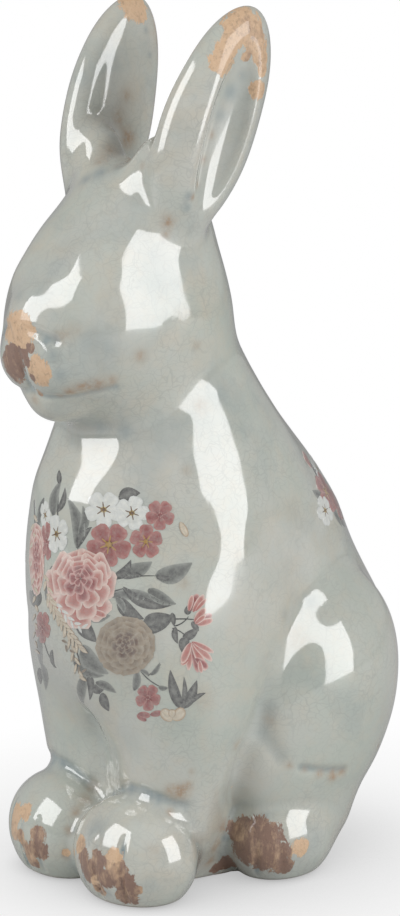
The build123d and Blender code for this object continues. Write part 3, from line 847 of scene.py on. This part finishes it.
# Leaves: root, tip, width, bend and colours
LEAVES = (
    (78, 548, 69, 498, 13, 0.10, SAGE), (78, 546, 92, 527, 8, -0.1, INK),
    (80, 534, 84, 506, 9, 0.12, SAGE), (54, 516, 62, 480, 9, -0.08, SAGE),
    (60, 484, 59, 470, 5, 0.0, INK), (58, 512, 66, 488, 6, 0.1, INK), (119, 498, 140, 493, 13, -0.1, INK),
    (114, 577, 131, 560, 9, 0.15, INK), (124, 571, 152, 562, 15, 0.12, SAGE),
    (124, 578, 143, 576, 7, -0.1, INK), (156, 577, 192, 563, 19, 0.10, SAGE),
    (157, 577, 172, 577, 7, 0.1, INK), (123, 588, 176, 604, 11, 0.16, INK),
    (148, 590, 176, 605, 13, 0.05, SAGE), (110, 596, 160, 601, 11, -0.07, SAGE),
    (118, 598, 143, 620, 14, 0.12, INK), (116, 598, 124, 614, 7, -0.1, SAGE),
    (143, 625, 173, 618, 20, 0.05, INK), (146, 630, 160, 632, 9, 0.0, INK),
    (172, 614, 174, 628, 6, 0.0, INK), (78, 618, 96, 642, 15, 0.05, INK),
    (86, 614, 110, 616, 12, 0.1, SAGE), (82, 646, 108, 674, 17, 0.13, SAGE),
    (74, 662, 104, 676, 9, 0.12, SAGE), (85, 674, 82, 706, 10, 0.06, SAGE),
    (88, 672, 90, 700, 7, -0.08, INK), (92, 690, 106, 685, 10, 0.05, INK),
    (96, 682, 116, 693, 8, -0.05, SAGE), (102, 693, 109, 711, 9, 0.05, INK),
    (134, 691, 134, 668, 8, 0.1, SAGE), (158, 688, 168, 689, 5, 0.1, SAGE),
    (150, 676, 159, 664, 5, 0.1, SAGE), (148, 676, 138, 671, 4, 0.1, SAGE),
    (182, 710, 170, 672, 11, -0.06, INK), (183, 709, 185, 679, 6, 0.05, INK),
    (183, 709, 200, 683, 11, 0.05, INK), (184, 708, 209, 695, 6, -0.06, INK),
    (36, 607, 36, 585, 12, 0.0, INK), (33, 604, 30, 590, 5, 0.0, SAGE), (40, 636, 42, 668, 6, 0.05, SAGE),
    (42, 664, 46, 690, 6, -0.05, SAGE), (39, 668, 41, 684, 5, 0.0, INK),
    (189, 616, 189, 606, 8, 0.0, INK), (175, 629, 178, 646, 7, 0.1, INK),
    (184, 640, 203, 630, 10, 0.1, INK), (189, 640, 183, 655, 12, 0.1, INK),
    (194, 624, 203, 634, 7, 0.0, INK), (52, 650, 55, 668, 4, 0.1, INK), (45, 498, 38, 540, 5, 0.05, SAGE),
    (52, 566, 46, 600, 5, 0.05, SAGE),
)
# Stems: root, tip, width and bend
STEMS = (
    (145, 626, 200, 622, 1.6, -0.06), (174, 628, 190, 618, 1.4, 0.1), (172, 630, 190, 642, 1.3, -0.08),
    (104, 594, 126, 588, 1.5, 0.0), (112, 580, 156, 576, 1.3, -0.03), (78, 590, 78, 548, 1.6, 0.03),
    (58, 520, 60, 480, 1.2, 0.0), (76, 650, 90, 690, 1.3, 0.0), (88, 676, 100, 694, 1.2, 0.0),
    (140, 672, 166, 690, 1.2, 0.08), (147, 677, 160, 666, 1.1, 0.0), (181, 710, 178, 690, 1.2, 0.0),
    (44, 640, 56, 668, 0.9, 0.06), (36, 500, 42, 560, 1.0, 0.05),
)
# Petals of buds and loose petals: root, angle, length, width and colours
BUDS = (
    (192, 612, -68, 19, 9, HEART), (195, 613, -58, 21, 8, BLUSH), (190, 612, -78, 17, 6, BLUSH),
    (198, 612, -48, 17, 5, BLUSH), (197, 624, -50, 19, 9, BLUSH), (200, 626, -28, 20, 9, HEART),
    (201, 627, -14, 19, 8, BLUSH), (198, 626, -36, 15, 6, BLUSH), (193, 646, 118, 22, 9, BLUSH),
    (194, 646, 98, 27, 8, BLUSH), (195, 646, 76, 30, 9, HEART), (195, 645, 60, 33, 10, BLUSH),
    (195, 645, 38, 32, 8, BLUSH), (196, 645, 24, 29, 6, BLUSH), (190, 663, 160, 9, 6, BLUSH),
    (199, 662, 30, 18, 8, HEART), (204, 664, 80, 12, 6, BLUSH), (180, 522, 65, 16, 7, CREAM),
    (146, 721, -145, 11, 6, ROSE), (150, 715, -10, 12, 6, ROSE), (138, 714, 10, 12, 6, ROSE),
    (172, 721, -135, 15, 11, CREAM), (173, 720, -40, 15, 12, CREAM), (172, 718, -90, 8, 8, CREAM),
    (92, 611, 20, 15, 7, BLUSH),
)
# Feathery strands: points of the run, petals, their length, width and colours
STRANDS = (
    (((47, 594), (56, 612), (66, 628), (80, 648)), 20, 11, 3.6, CREAM),
    (((44, 575), (52, 600), (70, 640), (80, 676)), 18, 10, 3.2, CREAM),
    (((35, 515), (33, 560), (36, 600), (34, 650)), 16, 8, 3.0, CREAM),
    (((56, 604), (72, 622), (82, 628)), 9, 9, 3.0, SNOW),
    (((62, 640), (74, 655), (82, 672)), 7, 7, 2.4, FADED),
)
# Full roses: middle, radius, squash, droop of the lower petals, first angle, colours outside and inside
ROSES = (
    (81, 578, 39, 0.86, 0.30, 12, BLUSH, HEART), (125, 645, 29, 1.0, 0.05, 40, FADED, FADED_HEART),
    (37, 556, 36, 0.20, 0.1, 0, BLUSH, HEART),
)
# Rings of a rose's petals: start and reach in shares of its radius, petals, width share, inner or not
ROSE_RINGS = (
    (0.30, 1.0, 9, 0.74, 0), (0.26, 0.82, 8, 0.62, 0), (0.20, 0.64, 7, 0.52, 0), (0.13, 0.47, 6, 0.40, 1),
    (0.07, 0.32, 5, 0.30, 1), (0.02, 0.18, 4, 0.18, 1),
)


class Print:
    """Sheets of a transfer print as grids of pixels, with a lift and a colour at each corner."""

    def __init__(self):
        self.pixels, self.lifts, self.paints = [], [], []

    def sheet(self, root, angle, length, width, shape, colours, layer=0, squash=1.0, bend=0.0):
        """One leaf, petal or dot, from its root along an angle in degrees."""
        outline = (ALONG + 0.02) ** shape[0] * (1.02 - ALONG) ** shape[1]
        outline = outline / outline.max() * width / 2
        u = ALONG * length + 0 * ACROSS
        v = ACROSS * outline + bend * length * 4 * ALONG * (1 - ALONG)
        c, s = math.cos(math.radians(angle)), math.sin(math.radians(angle))
        spots = np.stack([root[0] + squash * (u * c - v * s), root[1] + u * s + v * c], -1)
        start, tip, rim, rib = (np.array(colour) for colour in colours)
        paint = start + (tip - start) * np.sqrt(ALONG)[..., None] + 0 * ACROSS[..., None]
        edge = np.maximum(np.abs(ACROSS), 2 * ALONG - 1.02) - RIM_START
        edge = np.clip(edge / RIM_FADE, 0, 1)[..., None]
        paint = paint + (rim - paint) * edge
        ribbed = (np.abs(ACROSS) < RIB_WIDTH)[..., None]
        paint = paint + (rib - paint) * ribbed * RIB_STRENGTH * (1 - edge)
        self.pixels.append(spots)
        self.lifts.append(np.full(spots.shape[:2], PRINT_LIFT + PETAL_LIFT * layer))
        self.paints.append(paint)

    def between(self, x, y, end_x, end_y, width, bend, shape, colours, layer=0):
        """A sheet from one pixel to another."""
        angle = math.degrees(math.atan2(end_y - y, end_x - x))
        length = math.hypot(end_x - x, end_y - y)
        self.sheet((x, y), angle, length, width, shape, colours, layer, bend=bend)

    def blossom(self, x, y, radius, squash, turn, colours, eye):
        """Five petals round an eye with stamens."""
        plain = (eye[3],) * 4
        for number in range(5):
            angle = turn + 72 * number
            self.sheet((x, y), angle, radius, 0.84 * radius, PETAL, colours, 8 + number, squash)
        for step, (share, shades) in enumerate(((0.34, eye), (0.16, plain))):
            reach = share * radius
            self.sheet((x - squash * reach / 2, y), 0, reach, reach, ROUND, shades, 14 + step, squash)
        for number in range(6):
            angle = turn + 60 * number + 20
            self.sheet((x, y), angle, 0.42 * radius, 0.07 * radius, STRIP, plain, 14, squash)

    def rose(self, x, y, radius, squash, droop, turn, outer, inner):
        """Rings of petals, each smaller, higher and turned further than the one outside it."""
        layer = 10
        for ring, (start, reach, count, wide, deep) in enumerate(ROSE_RINGS):
            for number in range(count):
                angle = turn + 360 / count * number + 23 * ring
                stretch = 1 + droop * math.sin(math.radians(angle))
                c, s = math.cos(math.radians(angle)), math.sin(math.radians(angle))
                root = (x + squash * start * radius * c, y + start * radius * s * stretch)
                self.sheet(root, angle, (reach - start) * radius * stretch, wide * radius, ROSE_PETAL,
                           inner if deep else outer, layer, squash, 0.05 * math.sin(5.0 * angle))
                layer += 0.5

    def buds(self, shift, petals):
        for number, (x, y, angle, length, width, colours) in enumerate(petals):
            root = (shift[0] + x, shift[1] + y)
            self.sheet(root, angle, length, width, BUD_PETAL, colours, 6 + number % 9)

    def strand(self, run, count, length, width, colours):
        """Small petals that lean to either side of a run, one after the other."""
        run = np.array(run, float)
        gone = np.concatenate([[0], np.linalg.norm(np.diff(run, axis=0), axis=1).cumsum()])
        for number, place in enumerate(np.linspace(0, gone[-1], count)):
            here = [np.interp(place, gone, run[:, axis]) for axis in (0, 1)]
            ahead = [np.interp(place + 4, gone, run[:, axis]) - spot for axis, spot in enumerate(here)]
            angle = math.degrees(math.atan2(ahead[1], ahead[0] + TINY))
            angle += STRAND_LEAN if number % 2 else -STRAND_LEAN
            self.sheet(here, angle, length, width, LEAF, colours, 16 + number % 4, 0.8)

    def build(self, name, material, turn=0.0, mirror=False):
        """Lays the sheets on the skin as thin closed solids of one object."""
        grids = np.array(self.pixels)
        rows, columns = grids.shape[1:3]
        size = rows * columns
        places = seen_on_skin(grids.reshape(-1, 2), turn)
        close = (np.abs(skin_form(places)) < 1).reshape(-1, size)
        places = places.reshape(-1, size, 3)
        spread = np.linalg.norm(np.diff(places, axis=1), axis=2)
        kept = close.all(1) & (spread.max(1) < LONGEST_STEP)
        lifts = np.array(self.lifts).reshape(-1, size)[kept].reshape(-1, 1)
        paints = np.array(self.paints).reshape(-1, size, 3)[kept].reshape(-1, 3)
        places, normals = project(detailed_form, places[kept].reshape(-1, 3), 2)
        if mirror:
            places, normals = places * MIRROR, normals * MIRROR
        rim = list(range(columns)) + [row * columns + columns - 1 for row in range(1, rows)]
        rim += [(rows - 1) * columns + column for column in range(columns - 2, -1, -1)]
        rim += [row * columns for row in range(rows - 2, 0, -1)]
        faces = []
        for first in range(0, len(places), size):
            mid = first + columns * (rows // 2) + columns // 2
            across, along = places[mid + 1] - places[mid], places[mid + columns] - places[mid]
            way = 1 if np.cross(across, along) @ normals[mid] > 0 else -1
            for row in range(rows - 1):
                for column in range(columns - 1):
                    one = first + row * columns + column
                    face = (one, one + 1, one + columns + 1, one + columns)
                    faces += [face[::way], tuple(len(places) + corner for corner in face[::-way])]
            for one, other in zip(rim, rim[1:] + rim[:1]):
                one, other = first + one, first + other
                faces.append((other, one, len(places) + one, len(places) + other)[::way])
        corners = np.concatenate([places + lifts * normals, places - PRINT_ROOT * normals])
        mesh = dressed_mesh(name, corners, faces, np.concatenate([normals, -normals]), material)
        layer = mesh.attributes.new("paint", "FLOAT_COLOR", "POINT")
        paints = np.concatenate([np.concatenate([paints, np.ones((len(paints), 1))], axis=1)] * 2)
        layer.data.foreach_set("color", paints.astype(np.float32).ravel())
        piece = in_scene(name, mesh)
        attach(piece, "root")


def chest_print(material):
    art = Print()
    for leaf in LEAVES:
        art.between(*leaf[:6], LEAF, leaf[6], 2)
    for stem in STEMS:
        art.between(*stem, STRIP, (INK[0],) * 4, 1)
    for rose in ROSES:
        art.rose(*rose)
    art.buds((0, 0), BUDS)
    for blossom in BLOSSOMS:
        art.blossom(*blossom)
    for strand in STRANDS:
        art.strand(*strand)
    art.build("transfer_chest", material)


def side_print(name, material, turn, mirror, shift):
    """Smaller spray for a side that the photograph doesn't show, from the same leaves and flowers."""
    art = Print()
    x, y = shift
    for leaf in SPRAY_LEAVES:
        art.between(x + leaf[0], y + leaf[1], x + leaf[2], y + leaf[3], leaf[4], leaf[5], LEAF, leaf[6])
    for spot_x, spot_y, radius, turning, colours, eye in SPRAY_BLOSSOMS:
        art.blossom(x + spot_x, y + spot_y, radius, 1.0, turning, colours, eye)
    art.buds(shift, SPRAY_BUDS)
    art.build(name, material, turn, mirror)


def transfer_material():
    """Printed colours, a little uneven, under the same crackled glaze."""
    nodes = Nodes("transfer_print")
    where = nodes.add("TexCoord", out="Object")
    paint = nodes.add("Attribute", attribute_name="paint")
    grain = nodes.noise(where, 700.0, 4.0, 0.7)
    wash = nodes.noise(where, 260.0, 3.0, 0.6)
    colour = nodes.mix(nodes.ramp(grain, 0.35, 0.7, 0.0, 0.3), paint, PALE_GREY)
    deeper = nodes.mix(1.0, colour, colour, "MULTIPLY")
    colour = nodes.mix(nodes.ramp(wash, 0.35, 0.65, 0.0, 0.28), colour, deeper)
    colour = nodes.mix(nodes.math("MULTIPLY", crackle(nodes, where), 0.8), colour, CRACK_GREY)
    nodes.fill(nodes.shader.inputs["Base Color"], colour)
    nodes.fill(nodes.shader.inputs["Roughness"], nodes.ramp(wash, 0.3, 0.8, 0.06, 0.16))
    return nodes.glossy(where)


class Nodes:
    """Short way to write a material's node graph."""

    def __init__(self, name):
        self.material = bpy.data.materials.new(name)
        self.material.use_nodes = True
        self.tree = self.material.node_tree
        self.shader = self.tree.nodes["Principled BSDF"]
        self.output = self.tree.nodes["Material Output"]

    def fill(self, socket, value):
        if isinstance(value, bpy.types.NodeSocket):
            self.tree.links.new(value, socket)
        else:
            socket.default_value = value

    def add(self, kind, inputs=(), out=0, **settings):
        node = self.tree.nodes.new("ShaderNode" + kind)
        for name, value in settings.items():
            setattr(node, name, value)
        for name, value in dict(inputs).items():
            self.fill(node.inputs[name], value)
        return node.outputs[out]

    def math(self, operation, *values, clamp=False):
        return self.add("Math", dict(enumerate(values)), operation=operation, use_clamp=clamp)

    def mix(self, share, first, second, blend="MIX"):
        return self.add("Mix", {0: share, 6: first, 7: second}, out=2, data_type="RGBA", blend_type=blend)

    def ramp(self, value, low, high, to_low=0.0, to_high=1.0, smooth=False):
        kind = "SMOOTHSTEP" if smooth else "LINEAR"
        inputs = {0: value, 1: low, 2: high, 3: to_low, 4: to_high}
        return self.add("MapRange", inputs, clamp=True, interpolation_type=kind)

    def noise(self, where, scale, detail=2.0, roughness=0.5, distortion=0.0):
        inputs = {"Vector": where, "Scale": scale, "Detail": detail, "Roughness": roughness,
                  "Distortion": distortion}
        return self.add("TexNoise", inputs)

    def upright(self, where, share):
        """Places squeezed along Z, so that a pattern runs in upright streaks."""
        return self.add("Mapping", {"Vector": where, "Scale": (1, 1, share)})

    def mask(self, name):
        return self.add("Attribute", attribute_name=name, out=2)

    def glossy(self, where, lowered=()):
        """Finishes a glaze: slow waves, less what lies lower, under a clear coat."""
        height = self.math("MULTIPLY", self.noise(where, WAVE_SCALE, 2.0, 0.4), WAVE_HEIGHT)
        for depth in lowered:
            height = self.math("SUBTRACT", height, depth)
        bump = self.add("Bump", {"Height": height, "Strength": BUMP_STRENGTH, "Distance": BUMP_DEPTH})
        self.fill(self.shader.inputs["Normal"], bump)
        self.shader.inputs["IOR"].default_value = GLAZE_IOR
        self.shader.inputs["Coat Weight"].default_value = 1.0
        self.shader.inputs["Coat Roughness"].default_value = COAT_ROUGHNESS
        return self.material


def crackle(nodes, where):
    """Strength of the fine curved cracks at a place, stronger in some patches than in others."""
    shift = nodes.add("TexNoise", {"Vector": where, "Scale": 130.0, "Detail": 2.0}, out="Color")
    shift = nodes.add("VectorMath", {0: shift, "Scale": 0.009}, operation="SCALE")
    bent = nodes.add("VectorMath", {0: where, 1: shift}, operation="ADD")
    patchy = nodes.ramp(nodes.noise(where, 38.0, 3.0), 0.35, 0.62, 0.25, 1.0)
    lines = []
    for spots, scale, width, strength in ((nodes.upright(bent, 1.7), 300.0, 0.07, 0.26),
                                          (bent, 115.0, 0.03, 0.30)):
        cells = nodes.add("TexVoronoi", {"Vector": spots, "Scale": scale}, feature="DISTANCE_TO_EDGE")
        lines.append(nodes.math("MULTIPLY", nodes.ramp(cells, 0.0, width, strength, 0.0, True), patchy))
    return nodes.math("MAXIMUM", *lines)


def glaze_material():
    """Crackled celadon over warm clay, thin and brown at the edges, pooled blue-grey in the creases, with
    painted blue-grey shade under the chin, above the mouth and in the haunch's front crease.
    """
    nodes = Nodes("celadon_glaze")
    where = nodes.add("TexCoord", out="Object")

    # Cloudy green, grey and beige, thinner on the ridges
    cloud = nodes.noise(where, 22.0, 3.0, 0.55)
    fine_cloud = nodes.noise(where, 160.0, 4.0, 0.6)
    wide_cloud = nodes.noise(where, 28.0, 4.0, 0.6, 0.6)
    colour = nodes.mix(nodes.ramp(cloud, 0.35, 0.65), PALE_GREEN, PALE_GREY)
    warm = nodes.math("ADD", nodes.ramp(fine_cloud, 0.45, 0.75, 0.0, 0.35),
                      nodes.ramp(wide_cloud, 0.48, 0.7, 0.0, 0.45))
    colour = nodes.mix(warm, colour, PALE_BEIGE)
    thinned = nodes.math("MULTIPLY", nodes.mask("thin"), nodes.ramp(fine_cloud, 0.3, 0.7, 0.3, 0.8))
    colour = nodes.mix(thinned, colour, THIN_BEIGE)

    # Blue pools and painted blue-grey shade in upright streaks, tan stains and grey cracks
    streaks = nodes.noise(nodes.upright(where, 0.12), 240.0, 3.0, 0.6)
    drift = nodes.ramp(nodes.noise(where, 34.0, 4.0, 0.6), 0.5, 0.75, 0.0, 0.4)
    pooled_and_shaded = nodes.math("MULTIPLY", nodes.math("ADD", nodes.mask("pool_and_shade"), drift),
                        nodes.ramp(streaks, 0.2, 0.7, 0.6, 1.1), clamp=True)
    colour = nodes.mix(pooled_and_shaded, colour, POOL_AND_SHADE_BLUE)
    stain_grain = nodes.ramp(nodes.noise(where, 420.0, 5.0, 0.7), 0.3, 0.65, 0.45, 1.5)
    colour = nodes.mix(nodes.math("MULTIPLY", nodes.mask("tan"), stain_grain, clamp=True), colour, TAN)
    lines = crackle(nodes, where)
    colour = nodes.mix(lines, colour, CRACK_GREY)

    # Bare clay, peach to burnt brown, where the glaze has chipped off and all over the underside
    ragged = nodes.math("SUBTRACT", nodes.noise(nodes.upright(where, 0.45), 420.0, 7.0, 0.75, 0.4), 0.5)
    ragged = nodes.math("ADD", nodes.mask("worn"), nodes.math("MULTIPLY", ragged, CHIP_RAGGED))
    chipped = nodes.ramp(ragged, 0.46, 0.54, smooth=True)
    height_of = nodes.add("SeparateXYZ", {"Vector": where}, out=2)
    chipped = nodes.math("MAXIMUM", chipped, nodes.ramp(height_of, *BARE_BELOW, 1.0, 0.0))
    clay_grain = nodes.noise(where, 900.0, 4.0, 0.75)
    streaky = nodes.noise(nodes.upright(where, 0.4), 260.0, 5.0, 0.7)
    dark = nodes.ramp(nodes.math("ADD", streaky, nodes.mask("burnt")), 0.62, 0.92)
    clay = nodes.mix(dark, nodes.mix(clay_grain, PEACH, PEACH_LIGHT), BROWN)
    specks = nodes.ramp(nodes.noise(where, 520.0, 5.0, 0.7), 0.52, 0.68, 0.0, 0.8)
    clay = nodes.mix(specks, clay, nodes.mix(0.45, clay, DARK_BROWN))
    nodes.fill(nodes.shader.inputs["Base Color"], nodes.mix(chipped, colour, clay))

    rough = nodes.math("MULTIPLY", chipped, CLAY_ROUGHNESS)
    rough = nodes.math("ADD", nodes.ramp(fine_cloud, 0.3, 0.8, 0.05, 0.14), rough)
    nodes.fill(nodes.shader.inputs["Roughness"], rough)
    pitted = nodes.math("MULTIPLY", chipped, nodes.ramp(clay_grain, 0.3, 0.7, 0.7, 0.2))
    return nodes.glossy(where, (nodes.math("MULTIPLY", lines, CRACK_DEPTH), pitted))


def floor_and_background():
    mesh = bpy.data.meshes.new("floor")
    ring = [(FLOOR_REACH * x, FLOOR_REACH * y, 0) for x, y in ((-1, -1), (1, -1), (1, 1), (-1, 1))]
    mesh.from_pydata(ring, [], [(0, 1, 2, 3)])
    in_scene("floor", mesh)
    nodes = Nodes("floor_painted_shadow")
    nodes.shader.inputs["Base Color"].default_value = FLOOR_GREY
    nodes.shader.inputs["Roughness"].default_value = 0.6
    # Seen by the camera the floor is an even white glow with a painted shadow, greyer where ambient
    # occlusion finds the figurine close; other rays see the plain grey floor
    shade = nodes.add("AmbientOcclusion", {"Distance": 0.12}, out="AO", samples=8)
    floor_with_painted_shadow = nodes.mix(nodes.ramp(shade, 0.0, 1.0), PAINTED_SHADOW_GREY, (1, 1, 1, 1))
    floor_with_painted_shadow = nodes.add("Emission", {"Color": floor_with_painted_shadow})
    seen = nodes.add("LightPath", out="Is Camera Ray")
    shown = nodes.add("MixShader", {0: seen, 1: nodes.shader.outputs[0], 2: floor_with_painted_shadow})
    nodes.fill(nodes.output.inputs["Surface"], shown)
    mesh.materials.append(nodes.material)
    world = bpy.data.worlds.new("studio")
    bpy.context.scene.world = world
    world.use_nodes = True
    background = world.node_tree.nodes["Background"]
    background.inputs["Color"].default_value = (1, 1, 1, 1)
    background.inputs["Strength"].default_value = WORLD_LEVEL


def softbox(name, turn, rise, wide, tall):
    """Rectangular lamp that faces the figurine from a turn about it and a rise above it, in degrees."""
    data = bpy.data.lights.new(name, "AREA")
    data.shape = "RECTANGLE"
    data.size = 2 * LAMP_DISTANCE * math.tan(math.radians(wide / 2))
    data.size_y = 2 * LAMP_DISTANCE * math.tan(math.radians(tall / 2))
    data.energy = LAMP_LEVEL * data.size * data.size_y * math.pi
    holder = in_scene(name, data)
    turn, rise = math.radians(turn), math.radians(rise)
    way = Vector((math.sin(turn) * math.cos(rise), -math.cos(turn) * math.cos(rise), math.sin(rise)))
    holder.location = Vector((0, 0, LAMP_TARGET)) + way * LAMP_DISTANCE
    holder.rotation_euler = way.to_track_quat("Z", "Y").to_euler()


def camera():
    data = bpy.data.cameras.new("camera")
    data.lens = LENS
    data.sensor_fit = "VERTICAL"
    data.sensor_height = SENSOR
    data.shift_x = -SHIFT_PIXELS[0] / FRAME_PIXELS[1]
    data.shift_y = SHIFT_PIXELS[1] / FRAME_PIXELS[1]
    data.clip_start = 0.05
    data.clip_end = 100
    holder = in_scene("camera", data)
    holder.location = Vector(CAMERA_PLACE * MM)
    ahead = Vector((CAMERA_TARGET - CAMERA_PLACE) * MM)
    holder.rotation_euler = ahead.to_track_quat("-Z", "Y").to_euler()
    bpy.context.scene.camera = holder


bpy.context.scene.view_settings.view_transform = "Standard"
build_skin(glaze_material())
print_material = transfer_material()
chest_print(print_material)
side_print("transfer_chest_right", print_material, 0.0, True, (150.0, 570.0))
side_print("transfer_back", print_material, 88.0, False, (205.0, 520.0))
floor_and_background()
softbox("softbox_right", 107.0, 16.0, 36.0, 44.0)
softbox("softbox_left", -14.0, 29.0, 38.0, 40.0)
camera()
